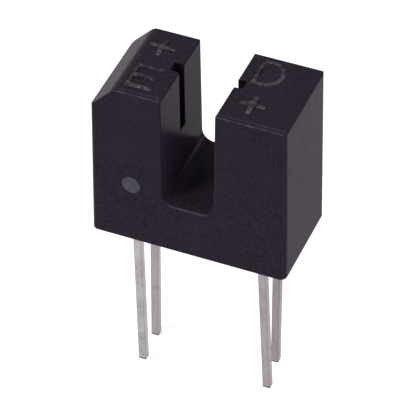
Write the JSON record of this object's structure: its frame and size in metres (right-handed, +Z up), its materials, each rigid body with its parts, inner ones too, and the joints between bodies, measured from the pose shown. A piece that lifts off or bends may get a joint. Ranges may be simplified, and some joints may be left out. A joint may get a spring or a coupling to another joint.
{
  "type": "photo interrupter",
  "caption": "U-shaped slotted optical switch: a black moulded housing with an infrared emitter and a phototransistor facing across a gap, and square tinned leads below.",
  "frame": {"origin": "middle of the housing's flat underside, which seats on the circuit board", "axes": "+Z up from the board through the towers, +X from the emitter tower to the detector tower, +Y from front to back"},
  "size_m": [0.0118, 0.0062, 0.0223],
  "materials": {
    "housing": "satin black moulded plastic",
    "emitter_epoxy": "clear tinted epoxy",
    "detector_epoxy": "dark infrared-passing epoxy",
    "potting": "matt potting epoxy",
    "tinned_lead": "satin tin plate",
    "semiconductor": "polished semiconductor",
    "die_bond": "silver-filled epoxy",
    "gold_wire": "bright gold"
  },
  "bodies": {
    "root": {"housing": "housing", "emitter_lens_body": "emitter_epoxy", "detector_lens_body": "detector_epoxy", "emitter_potting": "potting", "detector_potting": "potting", "emitter_anode_lead": "tinned_lead", "emitter_cathode_lead": "tinned_lead", "detector_collector_lead": "tinned_lead", "detector_emitter_lead": "tinned_lead", "emitter_die": "semiconductor", "detector_die": "semiconductor", "emitter_die_bond": "die_bond", "detector_die_bond": "die_bond", "emitter_bond_wire": "gold_wire", "detector_bond_wire": "gold_wire"}
  },
  "joints": []
}
